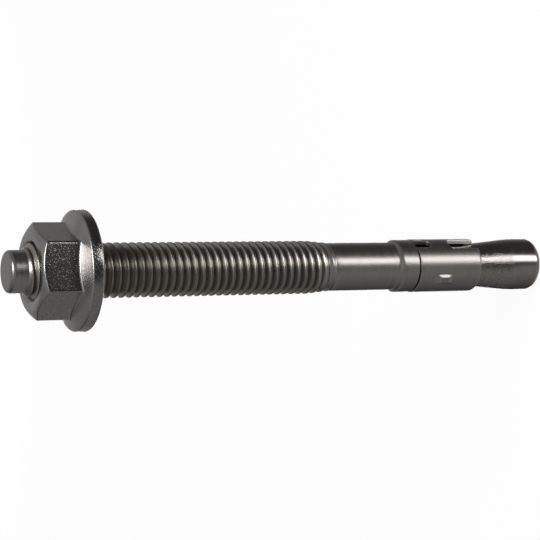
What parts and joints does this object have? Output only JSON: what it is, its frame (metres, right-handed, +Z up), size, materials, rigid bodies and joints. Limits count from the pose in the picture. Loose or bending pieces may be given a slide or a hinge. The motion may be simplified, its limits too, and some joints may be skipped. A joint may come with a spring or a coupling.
{
  "type": "wedge anchor",
  "caption": "Threaded stud for drilled concrete: expansion cone and slotted clip at its foot, hexagon flange nut and hammer pin at its head.",
  "frame": {"origin": "centre of the flat end of the expansion cone, on which the anchor stands", "axes": "+Z up the stud's axis towards the nut and the hammer pin; -Y faces one flat of the hexagon"},
  "size_m": [0.026, 0.026, 0.1289],
  "materials": {
    "stud": "satin cold-formed stainless steel",
    "expansion_clip": "satin rolled stainless sheet",
    "flange_nut": "satin forged stainless steel"
  },
  "bodies": {
    "stud": {"stud": "stud"},
    "clip": {"expansion_clip": "expansion_clip"},
    "nut": {"flange_nut": "flange_nut"}
  },
  "joints": [
    {"name": "nut_travel", "type": "slide", "parent": "stud", "child": "nut", "axis": [0, 0, 1], "range_m": [-0.052, 0.008]},
    {"name": "clip_spin", "type": "hinge", "parent": "stud", "child": "clip", "pos_m": [0, 0, 0.0248], "axis": [0, 0, 1], "continuous": true}
  ]
}
